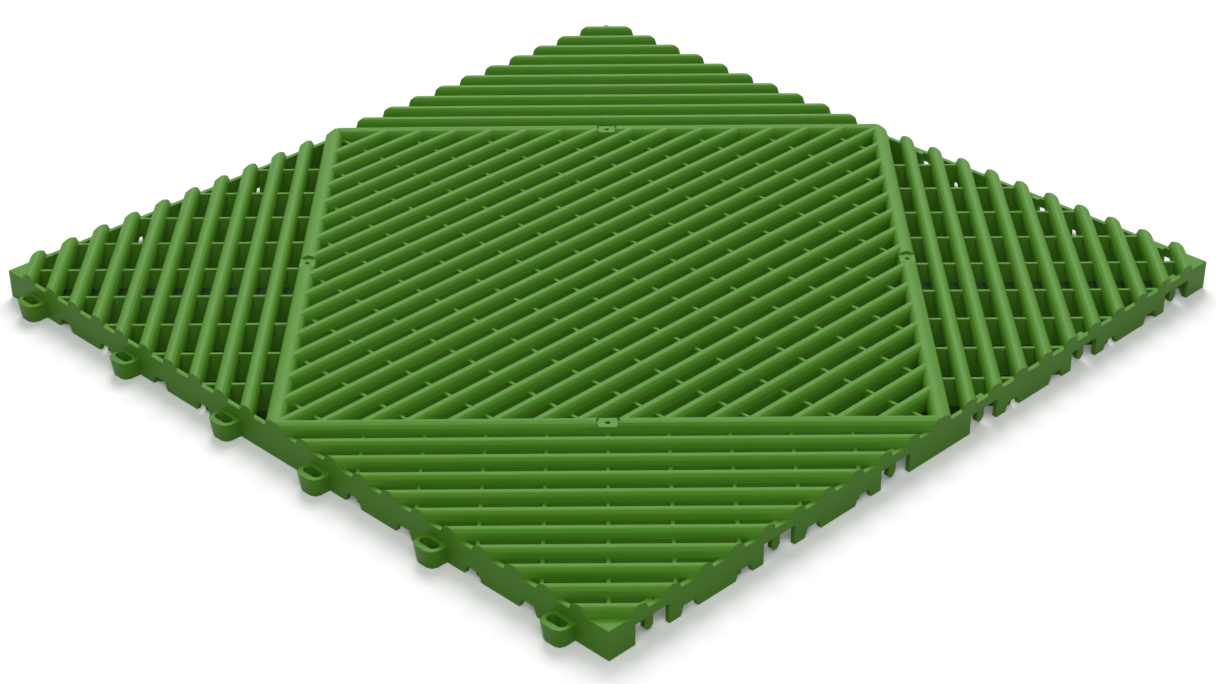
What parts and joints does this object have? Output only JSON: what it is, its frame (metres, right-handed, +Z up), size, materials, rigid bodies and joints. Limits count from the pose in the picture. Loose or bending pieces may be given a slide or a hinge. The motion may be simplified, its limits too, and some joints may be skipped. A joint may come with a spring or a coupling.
{
  "type": "interlocking terrace tile",
  "caption": "Square open-ribbed plastic floor tile with a diamond frame, loops on two sides and pegs in notches on the two others, for loose-laid terrace decking.",
  "frame": {"origin": "middle of the 400 mm square, on the floor plane that the webs and wall feet stand on", "axes": "+X and +Y along the tile's sides, the loops on the -X and +Y sides; +Z up, out of the walking side"},
  "size_m": [0.4093, 0.4093, 0.018],
  "materials": {
    "moulded_polypropylene": "satin moulded"
  },
  "bodies": {
    "root": {"terrace_tile": "moulded_polypropylene"}
  },
  "joints": []
}
